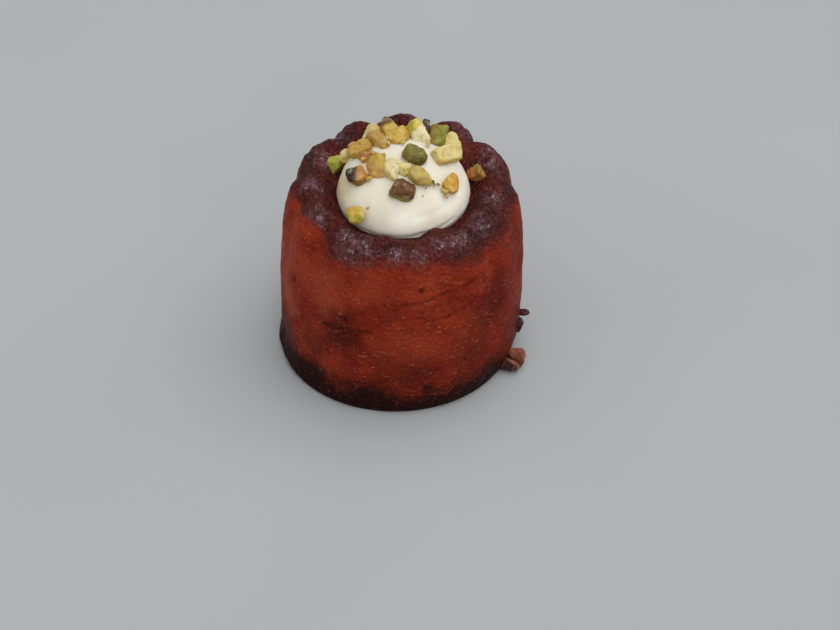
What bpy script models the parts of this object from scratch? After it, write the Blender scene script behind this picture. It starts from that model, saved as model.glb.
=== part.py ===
"""A canele: a small fluted cake with a dark caramelised crust and a dished top that holds
a mound of piped cream under chopped pistachios. Lengths here are in millimetres, and MM
brings them to metres. The cake rests on its flat base, +Z is up and -Y is its front."""

import math

import bmesh
import bpy
import numpy as np
from mathutils import Euler, Matrix, Vector, noise

MM = 0.001

# The cake, baked in a fluted mould of 55 mm.
FLUTES = 12
FOOT_RADIUS = 25.8
BASE_RADIUS = 27.1
BELLY_RADIUS = 27.2
BELLY_HEIGHT = 19.0
SHOULDER_RADIUS = 25.6
SHOULDER_HEIGHT = 38.4
CREST_RADIUS = 20.9
CREST_HEIGHT = 44.5
DISH_RADIUS = 13.6
DISH_CENTRE = (-0.1, -1.5)
DISH_HEIGHT = 41.4
TOP_SLOPE = 0.12
TOP_TILT = -0.03
TOP_SHIFT = 1.1
FOOT_SHIFT = -1.0
FOOT_SHIFT_HEIGHT = 7.0
GROOVE_AT_BASE = 0.35
GROOVE_AT_SHOULDER = 1.3
GROOVE_DEEPENS = (16.0, 39.0)
GROOVE_WIDTH = 0.62
LOBE_LIFT = 0.55
BLISTER = 0.28
LUMPS_ROUND = 9.0
LUMPS_UP = 0.27
GRAIN = 0.42
# Lobes that stand proud at the shoulder, each its place round the cake and how far.
PROUD_LOBES = ((2.62, 0.3), (1.05, 0.4), (0.52, 0.7))
PROUD_LOBE_WIDTH = 0.19
PROUD_HEIGHTS = (25.0, 40.0)
# Waves round the cake, each the number of crests, how high they are and where they start.
GROOVE_DRIFT = ((2, 0.035, 0.6), (5, 0.025, 2.0))
GROOVE_DEPTHS = ((1, 0.2, 0.0), (2, 0.25, 0.0), (7, 0.12, 0.0))
CAKE_SWELL = ((2, 0.28, 0.8), (3, 0.16, -0.9))
CAKE_STEPS = 120
CRUST_COLOUR = (0.13, 0.03, 0.015)

# The cream, piped as one fat blob that leans to the front.
CREAM_RADIUS = 14.2
CREAM_FOOT_RADIUS = 12.4
CREAM_BELLY = 2.3
CREAM_HEIGHT = 10.6
CREAM_CENTRE = (-0.3, -1.7)
CREAM_GAP = 0.5
CREAM_FRONT_BULGE = 0.035
CREAM_SWELL = ((2, 0.018, 0.9), (3, 0.012, 2.2))
# The fold climbs from the front to the right, and fades out after a sixth of a turn.
FOLD_DEPTH = 0.45
FOLD_START = 0.5
FOLD_CLIMB = 1.1
FOLD_WIDTH = 0.55
FOLD_FADES = (0.8, 1.3)
CREAM_STEPS = 54
CREAM_COLOUR = (0.86, 0.83, 0.72)

# Each piece: its kind, its centre, its length, width and thickness, and its turn in degrees.
CREAM_NUTS = (
    ("chunk", (-11.3, 4.3, 47.8), (3.8, 3.2, 2.8), (-35, -25, 60)),
    ("slice", (-8.2, 2.4, 50.5), (5.6, 5.0, 3.6), (10, -25, 0)),
    ("half", (-4.4, 3.4, 52.3), (7.2, 3.9, 3.2), (20, 10, -60)),
    ("chunk", (-5.9, 8.4, 50.6), (4.8, 4.0, 3.2), (40, -35, 35)),
    ("chunk", (-2.2, 9.0, 51.6), (5.4, 4.4, 3.8), (15, -50, 70)),
    ("chunk", (-0.1, 4.2, 53.0), (5.0, 4.2, 3.4), (35, -20, 25)),
    ("chunk", (4.2, 5.7, 52.7), (6.6, 4.2, 3.6), (15, 45, -65)),
    ("chunk", (5.9, 8.7, 51.8), (4.4, 2.4, 2.0), (10, -50, 75)),
    ("block", (8.4, 6.6, 51.2), (5.2, 4.2, 3.8), (10, -45, 75)),
    ("slice", (11.9, 5.5, 49.2), (6.6, 3.8, 2.2), (15, 40, -55)),
    ("block", (9.9, -0.6, 51.1), (6.0, 4.2, 2.4), (40, 5, 35)),
    ("whole", (3.4, -2.8, 52.8), (6.0, 4.4, 3.4), (20, 15, -15)),
    ("chunk", (-4.7, -5.0, 51.0), (6.8, 5.0, 3.6), (15, 20, -75)),
    ("chunk", (-1.5, -6.3, 51.6), (4.6, 4.0, 3.0), (10, -25, 60)),
    ("slice", (-8.9, -5.8, 49.8), (5.2, 4.4, 2.6), (30, 0, -45)),
    ("half", (4.5, -8.0, 50.9), (6.0, 4.0, 3.0), (25, 20, -25)),
    ("half", (0.8, -11.3, 49.8), (5.8, 4.8, 3.4), (35, 10, -15)),
    ("slice", (11.1, -7.3, 48.4), (5.2, 3.8, 1.6), (35, -15, 70)),
    ("chunk", (1.3, -6.2, 51.3), (3.6, 3.0, 2.2), (20, -5, 20)),
    ("chunk", (-9.4, -13.4, 44.6), (4.8, 3.6, 3.0), (35, -10, -20)),
    ("chunk", (-6.7, -1.2, 51.0), (4.6, 3.6, 3.2), (15, -20, 35)),
)
CAKE_NUTS = (
    ("chunk", (-14.2, 5.9, 44.4), (5.0, 3.6, 3.8), (10, -20, 63)),
    ("chunk", (16.9, 3.4, 43.4), (4.2, 3.8, 3.2), (30, -40, -5)),
)
# Scraps of crust that stuck to the side: at the foot on the right, and a bead above it.
SCRAPS = (
    ("chunk", (26.0, -9.6, 2.7), (5.6, 4.0, 4.8), (0, 20, -25)),
    ("chunk", (24.4, -12.2, 1.9), (5.0, 3.4, 3.0), (0, 10, -40)),
    ("whole", (28.1, -2.4, 9.1), (2.8, 1.6, 1.6), (0, -10, -5)),
    ("chunk", (26.9, -3.2, 6.4), (2.4, 3.4, 4.2), (0, 0, -8)),
)
CUTS = {
    "whole": (),
    "half": ((0.1, 0.0, -1.0, 0.3), (-1.0, 0.1, 0.2, 0.8)),
    "slice": ((0.0, 0.1, 1.0, 0.55), (0.1, 0.0, -1.0, 0.5), (0.3, 1.0, 0.0, 0.7)),
    "block": (
        (1.0, 0.1, 0.0, 0.75), (-1.0, 0.0, 0.1, 0.7), (0.1, 1.0, 0.0, 0.65),
        (0.0, -1.0, 0.1, 0.7), (0.0, 0.1, 1.0, 0.65), (0.1, 0.0, -1.0, 0.6),
    ),
}
CHUNK_CUTS = 4
NUT_SIDES = 7
NUT_RINGS = 5


def clear_scene():
    for obj in list(bpy.data.objects):
        bpy.data.objects.remove(obj, do_unlink=True)


def new_collection(name):
    made = bpy.data.collections.new(name)
    bpy.context.scene.collection.children.link(made)
    return made


def material(name, colour, roughness):
    made = bpy.data.materials.new(name)
    made.use_nodes = True
    shader = made.node_tree.nodes["Principled BSDF"]
    shader.inputs["Base Color"].default_value = (*colour, 1.0)
    shader.inputs["Roughness"].default_value = roughness
    return made


def ease(value, low, high):
    t = min(max((value - low) / (high - low), 0.0), 1.0)
    return t * t * (3.0 - 2.0 * t)


def smooth_line(knots, per_span):
    """Points on a soft curve that passes through the knots."""
    knots = [np.array(knot) for knot in knots]
    ends = [2 * knots[0] - knots[1], *knots, 2 * knots[-1] - knots[-2]]
    line = [knots[0]]
    for a, b, c, d in zip(ends, ends[1:], ends[2:], ends[3:]):
        for step in range(1, per_span + 1):
            t = step / per_span
            line.append(
                0.5 * (2 * b + (c - a) * t + (2 * a - 5 * b + 4 * c - d) * t * t
                       + (3 * b - a - 3 * c + d) * t ** 3)
            )
    return line


def bell(value):
    """1 where the value is 0, falling off softly on both sides."""
    return math.exp(-value * value)


def waves(angle, kinds):
    return sum(high * math.sin(crests * angle + start) for crests, high, start in kinds)


def settle(x, y, z):
    """The baked cake leans a little, and its top slopes down to the front."""
    rise = max(z, 0.0) / CREST_HEIGHT
    shift = TOP_SHIFT * rise + FOOT_SHIFT * (1.0 - ease(z, 0.0, FOOT_SHIFT_HEIGHT))
    return x + shift, y, z + (TOP_SLOPE * y + TOP_TILT * x) * rise * rise


def groove(angle):
    """1 in the middle of a groove and 0 on a lobe, each flute a little its own."""
    across = math.sin(0.5 * (FLUTES * (angle + waves(angle, GROOVE_DRIFT)) + math.pi))
    return (1.0 + waves(angle, GROOVE_DEPTHS)) * bell(across / GROOVE_WIDTH)


def cake_profile():
    """From the middle of the dish over the crest, down the outer side and in to the axis."""
    dish = CREST_HEIGHT - DISH_HEIGHT
    knots = [
        (0.7 * DISH_RADIUS, DISH_HEIGHT),
        (DISH_RADIUS, DISH_HEIGHT + 0.08 * dish),
        (0.36 * CREST_RADIUS + 0.64 * DISH_RADIUS, DISH_HEIGHT + 0.42 * dish),
        (0.72 * CREST_RADIUS + 0.28 * DISH_RADIUS, DISH_HEIGHT + 0.85 * dish),
        (CREST_RADIUS, CREST_HEIGHT),
        (0.6 * SHOULDER_RADIUS + 0.4 * CREST_RADIUS, 0.4 * SHOULDER_HEIGHT + 0.6 * CREST_HEIGHT),
        (SHOULDER_RADIUS, SHOULDER_HEIGHT),
        (BELLY_RADIUS - 0.5, 0.6 * SHOULDER_HEIGHT + 0.4 * BELLY_HEIGHT),
        (BELLY_RADIUS, BELLY_HEIGHT),
        (0.5 * (BASE_RADIUS + BELLY_RADIUS), 0.5 * BELLY_HEIGHT),
        (BASE_RADIUS, 3.4),
        (BASE_RADIUS - 0.5, 1.2),
        (FOOT_RADIUS, 0.0),
    ]
    return [(0.0, DISH_HEIGHT), *smooth_line(knots, 3), (0.0, 0.0)]


def cream_profile():
    """From the soft peak, round the fat side and in along the foot."""
    wide = CREAM_RADIUS
    tall = CREAM_HEIGHT
    knots = [
        (0.16 * wide, tall),
        (0.48 * wide, 0.89 * tall),
        (0.76 * wide, 0.71 * tall),
        (0.93 * wide, 0.465 * tall),
        (wide, CREAM_BELLY),
        (0.985 * wide, 0.4 * CREAM_BELLY),
        (CREAM_FOOT_RADIUS, 0.1),
        (0.6 * CREAM_FOOT_RADIUS, 0.0),
    ]
    return [(0.0, 1.01 * tall), *smooth_line(knots, 3), (0.0, 0.0)]


def cake_rule(radius, height, angle):
    """Moves a point of the turned crust to its flutes, lobes, blisters and uneven bake."""
    out = ease(radius, DISH_RADIUS, CREST_RADIUS)
    up = ease(height, SHOULDER_HEIGHT - 2.0, CREST_HEIGHT)
    skin = ease(height, 0.3, 2.5) * ease(radius, 2.0, 9.0)
    carve = groove(angle) * ease(height, 0.2, 3.0)
    depth = GROOVE_AT_BASE + (GROOVE_AT_SHOULDER - GROOVE_AT_BASE) * ease(height, *GROOVE_DEEPENS)
    proud = sum(far * bell((angle - place) / PROUD_LOBE_WIDTH) for place, far in PROUD_LOBES)
    x, y = math.cos(angle), math.sin(angle)
    coarse = noise.noise(Vector((LUMPS_ROUND * x, LUMPS_ROUND * y, LUMPS_UP * height)))
    fine = noise.noise(GRAIN * Vector((radius * x, radius * y, height)) + Vector((0.0, 0.0, 7.0)))
    reach = radius + out * (proud * ease(height, *PROUD_HEIGHTS) - depth * carve)
    reach += skin * (BLISTER * (coarse + fine) + out * waves(angle, CAKE_SWELL))
    lifted = height + out * up * (LOBE_LIFT * (0.55 - carve) + 0.5 * BLISTER * fine)
    inward = 1.0 - out
    return settle(reach * x + inward * DISH_CENTRE[0], reach * y + inward * DISH_CENTRE[1], lifted)


def cream_rule(radius, height, angle):
    """Moves a point of the turned cream to its lean, and to the fold of the first turn."""
    turned_by = (angle + 0.5 * math.pi) % (2.0 * math.pi)
    fold = ease(turned_by, 0.0, 0.3) * (1.0 - ease(turned_by, *FOLD_FADES))
    pinch = FOLD_DEPTH * fold * bell((height - FOLD_START - FOLD_CLIMB * turned_by) / FOLD_WIDTH)
    bulge = CREAM_FRONT_BULGE * -math.sin(angle) * ease(radius, 4.0, 14.0)
    reach = radius * (1.0 + waves(angle, CREAM_SWELL)) * (1.0 + bulge) - pinch
    x = CREAM_CENTRE[0] + reach * math.cos(angle)
    y = CREAM_CENTRE[1] + reach * math.sin(angle)
    return settle(x, y, DISH_HEIGHT + CREAM_GAP + height)


def turned(name, profile, steps, rule, collection):
    """Turns a profile round the axis, then moves every point by the rule."""
    mesh = bpy.data.meshes.new(name)
    points = [(radius * MM, 0.0, height * MM) for radius, height in profile]
    mesh.from_pydata(points, [(i, i + 1) for i in range(len(points) - 1)], [])
    obj = bpy.data.objects.new(name, mesh)
    collection.objects.link(obj)
    screw = obj.modifiers.new("turn", "SCREW")
    screw.steps = steps
    screw.render_steps = steps
    screw.use_merge_vertices = True
    screw.merge_threshold = 0.00005
    apply_modifiers(obj)
    for vertex in obj.data.vertices:
        x, y, z = vertex.co / MM
        moved = rule(math.hypot(x, y), max(z, 0.0), math.atan2(y, x))
        vertex.co = Vector(moved) * MM
    return obj


def apply_modifiers(obj):
    graph = bpy.context.evaluated_depsgraph_get()
    obj.data = bpy.data.meshes.new_from_object(obj.evaluated_get(graph))
    obj.modifiers.clear()


def flat_faces(kind, seed):
    """The broken faces of a piece, each a unit normal and how far out it lies."""
    faces = [(Vector(cut[:3]).normalized(), cut[3]) for cut in CUTS.get(kind, ())]
    if kind == "chunk":
        random = np.random.default_rng(seed)
        for _ in range(CHUNK_CUTS):
            faces.append((Vector(random.normal(size=3)).normalized(), random.uniform(0.45, 0.7)))
    return faces


def kernel(name, piece, seed):
    """A piece of pistachio: a ball with its broken faces pressed flat, brought to size."""
    kind, centre, size, turn = piece
    mesh = bmesh.new()
    bmesh.ops.create_uvsphere(mesh, u_segments=NUT_SIDES, v_segments=NUT_RINGS, radius=1.0)
    for normal, distance in flat_faces(kind, seed):
        for vertex in mesh.verts:
            vertex.co -= max(vertex.co.dot(normal) - distance, 0.0) * normal
    turning = Euler([math.radians(angle) for angle in turn]).to_matrix().to_4x4()
    placing = Matrix.Scale(MM, 4) @ Matrix.Translation(centre) @ turning
    for axis in range(3):
        low = min(vertex.co[axis] for vertex in mesh.verts)
        high = max(vertex.co[axis] for vertex in mesh.verts)
        for vertex in mesh.verts:
            vertex.co[axis] = size[axis] * ((vertex.co[axis] - low) / (high - low) - 0.5)
    bmesh.ops.delete(mesh, geom=mesh.edges[:], context="EDGES_FACES")
    bmesh.ops.convex_hull(mesh, input=mesh.verts[:])
    bmesh.ops.delete(mesh, geom=[v for v in mesh.verts if not v.link_faces], context="VERTS")
    bmesh.ops.recalc_face_normals(mesh, faces=mesh.faces[:])
    mesh.transform(placing)
    data = bpy.data.meshes.new(name)
    mesh.to_mesh(data)
    mesh.free()
    return bpy.data.objects.new(name, data)


def fuse(target, pieces, first_seed):
    """Joins the pieces to the target by one union, then removes them."""
    helpers = new_collection(target.name + "_pieces")
    helpers.hide_render = True
    for i, piece in enumerate(pieces):
        made = kernel(f"{target.name}_piece_{i}", piece, first_seed + i)
        made.display_type = "WIRE"
        made.hide_render = True
        helpers.objects.link(made)
    union = target.modifiers.new("fuse", "BOOLEAN")
    union.operation = "UNION"
    union.operand_type = "COLLECTION"
    union.collection = helpers
    union.solver = "EXACT"
    apply_modifiers(target)
    for made in list(helpers.objects):
        bpy.data.objects.remove(made, do_unlink=True)
    bpy.data.collections.remove(helpers)


def main():
    clear_scene()
    parts = new_collection("canele")
    cake = turned("cake", cake_profile(), CAKE_STEPS, cake_rule, parts)
    fuse(cake, CAKE_NUTS + SCRAPS, first_seed=100)
    cake.data.materials.append(material("caramelised_crust", CRUST_COLOUR, 0.4))
    cream = turned("cream", cream_profile(), CREAM_STEPS, cream_rule, parts)
    fuse(cream, CREAM_NUTS, first_seed=200)
    cream.data.materials.append(material("whipped_cream", CREAM_COLOUR, 0.5))


main()
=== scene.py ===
"""The looks of a canele: a small fluted cake with a caramelised crust, and in its dished top a
mound of piped cream under chopped pistachios. Lengths are in millimetres, and MM brings them
to metres. The cake rests on its flat base, +Z is up and -Y is its front."""

import math

import bmesh
import bpy
import numpy as np
from mathutils import Euler, Matrix, Vector, noise


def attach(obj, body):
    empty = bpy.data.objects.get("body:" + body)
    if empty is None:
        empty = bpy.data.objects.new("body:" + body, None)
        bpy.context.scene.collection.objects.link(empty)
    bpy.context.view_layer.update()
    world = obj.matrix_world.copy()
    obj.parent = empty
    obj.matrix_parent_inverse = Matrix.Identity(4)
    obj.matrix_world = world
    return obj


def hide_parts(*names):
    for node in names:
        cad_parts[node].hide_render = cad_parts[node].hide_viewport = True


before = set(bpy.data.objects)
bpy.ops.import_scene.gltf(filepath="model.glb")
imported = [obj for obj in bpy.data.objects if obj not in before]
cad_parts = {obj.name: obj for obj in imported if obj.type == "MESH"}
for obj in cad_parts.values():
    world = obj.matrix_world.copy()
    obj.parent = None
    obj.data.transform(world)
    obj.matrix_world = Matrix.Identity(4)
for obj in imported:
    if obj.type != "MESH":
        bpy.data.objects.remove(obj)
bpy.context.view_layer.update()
MM = 0.001
FULL_TURN = 2.0 * math.pi

# The cake, baked in a fluted mould of 55 mm.
FLUTES = 12
FOOT_RADIUS = 25.8
BASE_RADIUS = 27.1
BELLY_RADIUS = 27.2
BELLY_HEIGHT = 19.0
SHOULDER_RADIUS = 25.6
SHOULDER_HEIGHT = 38.4
CREST_RADIUS = 20.9
CREST_HEIGHT = 44.5
DISH_RADIUS = 13.6
DISH_CENTRE = (-0.1, -1.5)
DISH_HEIGHT = 41.4
TOP_SLOPE = 0.12
TOP_TILT = -0.03
TOP_SHIFT = 1.1
FOOT_SHIFT = -1.0
FOOT_SHIFT_HEIGHT = 7.0
GROOVE_AT_BASE = 0.35
GROOVE_AT_SHOULDER = 1.3
GROOVE_DEEPENS = (16.0, 39.0)
GROOVE_WIDTH = 0.62
LOBE_LIFT = 0.55
# Lobes that stand proud at the shoulder, each its place round the cake and how far.
PROUD_LOBES = ((2.62, 0.3), (1.05, 0.4), (0.52, 0.7))
PROUD_LOBE_WIDTH = 0.19
PROUD_HEIGHTS = (25.0, 40.0)
# Waves round the cake, each the number of crests, how high they are and where they start.
GROOVE_DRIFT = ((2, 0.035, 0.6), (5, 0.025, 2.0))
GROOVE_DEPTHS = ((1, 0.2, 0.0), (2, 0.25, 0.0), (7, 0.12, 0.0))
CAKE_SWELL = ((2, 0.28, 0.8), (3, 0.16, -0.9))
# Steps round the cake, and how far apart the points of its line are, knot by knot.
CAKE_STEPS = 480
CAKE_SPACINGS = (1.2, 0.5, 0.32, 0.27, 0.25, 0.25, 0.27, 0.34, 0.36, 0.36, 0.33, 0.3)

# The relief of the baked crust, each kind of lump: how many to the millimetre, their detail,
# how they are squeezed along each axis, then how high they are on the side, how much higher on
# top, and how much higher at the foot.
RELIEF = (
    (0.11, 1.0, (1.0, 1.0, 1.0), 0.24, 0.0, 0.0),
    (0.3, 1.0, (1.0, 1.0, 1.25), 0.11, 0.16, 0.0),
    (0.62, 2.0, (1.0, 1.0, 1.0), 0.03, 0.10, 0.08),
    (0.6, 2.0, (0.35, 0.35, 1.0), 0.06, -0.06, 0.0),
    (0.8, 2.0, (1.0, 1.0, 1.0), 0.0, 0.0, 0.24),
)
# The skin lies this far in, so that its lumps stay within the cake's box.
SKIN_SUNK = 0.16
# Heights between which the relief of the top grows in, and that of the foot fades out.
RELIEF_TOP = (36.0, 41.0)
RELIEF_FOOT = (1.0, 7.0)
# The blisters and pores, how many to the millimetre and how high or deep they are, and where
# their cells start. Then how deep holes and creases are, and how wide a crease is.
BLISTERS = 0.5
BLISTER_HEIGHT = 0.2
PORES = 1.1
PORE_DEPTH = 0.16
PORE_START = (3.1, 7.7, 1.3)
HOLE_DEPTH = 0.5
CREASE_DEPTH = 0.3
CREASE_WIDTH = 0.4

# The colours of the crust.
SIDE_RED = (0.225, 0.0175, 0.0065)
SIDE_ORANGE = (0.30, 0.032, 0.010)
SIDE_DARK = (0.055, 0.0050, 0.0032)
SIDE_LIGHT = (0.36, 0.050, 0.019)
# Painted highlights of the side: the speck and glint colours stand in for light glinting off its
# small bumps.
SIDE_PAINTED_SPECK = (0.33, 0.085, 0.045)
SIDE_PAINTED_GLINT = (0.46, 0.16, 0.09)
FOOT_BLACK = (0.018, 0.0040, 0.0034)
TOP_DARK = (0.030, 0.0045, 0.0040)
TOP_BROWN = (0.112, 0.0135, 0.0088)
# Painted light of the top: a pale sheen and bright glints stand in for reflected light, and near
# black stands for the shade in its pores.
TOP_PAINTED_SHEEN = (0.150, 0.062, 0.072)
TOP_PAINTED_GLINT = (0.64, 0.53, 0.54)
TOP_PORE_SHADE = (0.006, 0.002, 0.002)
# Heights between which the burnt foot ends and the dark top begins.
BURNT_HEIGHTS = (1.7, 10.9)
DARK_TOP_HEIGHTS = (37.2, 41.6)
# The noises that the colours share: lumps to the millimetre, detail, roughness and start.
CRUST_NOISES = {
    "drift": (0.14, 2.0, 0.5, (0.0, 0.0, 0.0)),
    "grain": (0.9, 3.0, 0.6, (0.0, 0.0, 0.0)),
    "fine": (2.2, 3.0, 0.7, (3.0, 31.0, 0.0)),
    "warmth": (0.09, 2.0, 0.5, (5.0, 3.0, 0.0)),
    "clouds": (0.3, 4.0, 0.65, (40.0, 0.0, 9.0)),
    "crowd": (0.4, 2.0, 0.5, (0.0, 9.0, 4.0)),
    "sheen_patches": (0.45, 4.0, 0.75, (0.0, 0.0, 0.0)),
    "chance": (1.2, 3.0, 0.7, (0.0, 5.0, 0.0)),
    "skin": (2.4, 3.0, 0.65, (0.0, 0.0, 0.0)),
    "coarse": (1.2, 0.0, 0.5, (0.0, 0.0, 21.0)),
}
# Bumps of the crust: where, how wide, how high.
BUMPS = (
    ((7.4, -14.6, 40.9), 2.6, 1.5), ((-3.4, -16.2, 41.0), 2.2, 0.4),
    ((-16.6, -3.0, 43.4), 2.4, 0.5), ((16.0, -9.4, 42.0), 2.4, 0.5),
    ((12.5, 10.5, 44.0), 2.4, 0.4), ((-8.0, 14.5, 45.2), 2.4, 0.4),
    ((1.7, 20.6, 46.6), 3.6, 1.0), ((12.4, 18.4, 46.0), 3.4, 0.8),
    ((-9.4, 19.2, 46.8), 3.4, 0.7),
)
# The tops of the lobes, glossy and full of pores, where a sheen and glints are painted: where, how
# wide.
SHEENS = (
    ((-9.6, -20.3, 40.9), 4.2), ((-12.6, -17.6, 42.0), 2.0), ((-1.0, -22.6, 40.4), 2.2),
    ((4.2, -22.5, 40.3), 2.0), ((8.5, -19.8, 41.7), 2.0), ((12.7, -18.2, 41.6), 2.4),
    ((17.6, -13.2, 42.1), 3.0), ((20.2, -5.0, 43.2), 2.8), ((21.1, 6.6, 44.6), 2.8),
    ((19.4, 9.8, 45.4), 1.8), ((-16.9, 6.3, 45.2), 2.4), ((-18.9, -2.7, 44.8), 2.8),
    ((-17.8, -11.6, 43.0), 3.0), ((14.0, 17.0, 46.0), 2.6), ((5.0, 20.6, 46.6), 2.6),
    ((-5.6, 20.6, 46.8), 2.6), ((-14.6, 14.8, 46.2), 2.6),
)
# Where the dark top starts higher: where, how far it reaches, how much higher.
GLOWS = (
    ((-24.6, -4.0, 38.5), 7.0, 4.0), ((-23.0, -9.0, 39.0), 6.0, 2.5),
    ((-3.0, -23.6, 38.6), 8.0, 1.6), ((4.0, -23.6, 38.6), 8.0, 1.4),
    ((-20.0, -14.0, 38.7), 7.0, 4.0), ((-22.4, -11.2, 38.7), 6.0, 3.0),
    ((25.2, -5.0, 37.6), 5.0, 2.0), ((9.0, -23.4, 38.4), 4.0, 1.0),
)
# Lighter patches of the side: where, how far they reach, how light.
LIGHTER = (
    ((-17.0, -20.6, 30.0), 10.0, 0.9), ((-24.0, -10.0, 33.0), 8.0, 0.7),
    ((-6.0, -25.4, 33.6), 7.0, 0.55), ((5.0, -25.6, 35.0), 7.0, 0.45),
    ((-26.0, -7.0, 19.0), 9.0, 1.0), ((3.0, -26.6, 19.0), 8.0, 0.5),
    ((-27.0, -1.0, 28.0), 7.0, 0.7),
)
# Where the burnt foot climbs higher: where, how far it reaches, how much higher.
FOOT_RISES = (
    ((-20.5, -17.5, 3.0), 11.0, 4.0), ((19.0, -19.0, 3.0), 10.0, 2.6),
    ((-26.0, -4.0, 4.0), 9.0, 3.0), ((-6.0, -26.0, 3.0), 9.0, 2.4),
    ((6.0, -26.0, 3.0), 8.0, 1.8), ((26.0, 6.0, 3.0), 14.0, 3.0), ((0.0, 26.0, 3.0), 16.0, 2.0),
)
# Marks of the bake. Holes: where, how wide. Creases: start, bend, end.
HOLES = (
    ((-23.4, -12.4, 26.7), 0.55), ((-22.5, -13.0, 31.8), 0.35), ((-12.1, -23.8, 24.5), 0.65),
    ((4.6, -25.5, 33.3), 0.6), ((-3.6, -25.8, 29.6), 0.35), ((5.7, -26.2, 7.1), 1.5),
    ((14.2, -23.2, 12.5), 0.45), ((-19.2, -18.8, 11.0), 0.5),
)
CREASES = (
    ((1.0, -26.4, 30.4), (5.6, -25.6, 30.0), (9.7, -24.3, 31.9)),
    ((9.7, -24.3, 31.9), (13.2, -22.9, 31.6), (16.5, -21.0, 33.2)),
    ((9.6, -25.0, 25.6), (13.0, -23.6, 26.6), (16.4, -21.4, 28.6)),
    ((-17.4, -20.3, 20.4), (-12.6, -23.6, 23.0), (-6.6, -25.7, 22.0)),
    ((17.6, -20.0, 20.8), (20.4, -17.4, 21.4), (22.4, -15.2, 23.6)),
    ((-20.6, -16.6, 9.0), (-15.0, -21.8, 6.8), (-8.6, -25.2, 6.2)),
)
# Darker patches of the side: where, how far they reach, how dark.
BLOTCHES = (
    ((-12.6, -23.4, 20.6), 8.5, 0.85), ((-18.6, -18.6, 13.5), 7.0, 0.45),
    ((19.6, -18.0, 24.0), 10.0, 0.55), ((15.6, -22.0, 14.0), 9.0, 0.5),
    ((25.0, -9.0, 12.0), 9.0, 0.6), ((-25.6, -6.0, 14.0), 8.0, 0.4),
    ((4.0, -26.0, 9.0), 7.0, 0.4), ((3.0, 26.0, 24.0), 12.0, 0.6),
    ((26.4, -6.0, 30.0), 9.0, 0.45), ((-25.0, -9.0, 11.0), 8.0, 0.45),
    ((0.0, -26.6, 12.0), 9.0, 0.45), ((-20.0, 17.0, 16.0), 10.0, 0.5),
    ((21.0, 16.0, 30.0), 9.0, 0.4),
)

# The cream, piped as one fat blob that leans to the front.
CREAM_RADIUS = 14.2
CREAM_FOOT_RADIUS = 13.3
CREAM_BELLY = 2.3
CREAM_HEIGHT = 11.1
CREAM_CENTRE = (-0.3, -1.7)
CREAM_FRONT_BULGE = 0.035
CREAM_SWELL = ((2, 0.018, 0.9), (3, 0.012, 2.2))
# The folds climb from the front to the right: how deep, how high they start, how much they
# climb, how wide, and between which turns they fade out.
FOLDS = ((0.35, 0.9, 1.6, 0.5, 0.7, 1.0), (0.17, 5.0, 0.9, 0.6, 1.2, 2.0))
CREAM_STEPS = 300
CREAM_SPACINGS = (0.3, 0.3, 0.3, 0.3, 0.3, 0.3, 0.8)
CREAM_DEEP = (0.77, 0.705, 0.56)
CREAM_PALE = (0.82, 0.76, 0.63)
# Light and shade painted on the cream, paler at the lower front and darker and warmer on the left:
# the colour, then where, how far it reaches and how strong it is.
CREAM_PAINTED_LIGHT = (
    ((0.95, 0.9, 0.78), (((2.0, -16.6, 42.6), 7.0, 0.9), ((12.0, -10.0, 44.6), 7.0, 0.7))),
    ((0.64, 0.52, 0.31), (((-12.6, -5.0, 46.0), 6.5, 0.9), ((-7.0, -4.6, 49.6), 5.0, 0.4))),
)

# The colours that a piece of pistachio or a scrap of crust can show.
TONES = {
    "white": (0.8, 0.72, 0.44),
    "ivory": (0.68, 0.56, 0.22),
    "butter": (0.57, 0.44, 0.11),
    "pale": (0.49, 0.34, 0.075),
    "gold": (0.58, 0.38, 0.055),
    "straw": (0.5, 0.3, 0.042),
    "peach": (0.52, 0.29, 0.06),
    "caramel": (0.46, 0.21, 0.036),
    "orange": (0.54, 0.29, 0.022),
    "amber": (0.34, 0.125, 0.014),
    "lime": (0.58, 0.49, 0.062),
    "sprout": (0.40, 0.40, 0.045),
    "leaf": (0.25, 0.235, 0.018),
    "moss": (0.13, 0.115, 0.012),
    "olive": (0.25, 0.18, 0.017),
    "brown": (0.145, 0.052, 0.011),
    "black": (0.02, 0.004, 0.0026),
    "crumb": (0.36, 0.11, 0.07),
    "burnt": (0.055, 0.01, 0.0075),
}
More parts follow.
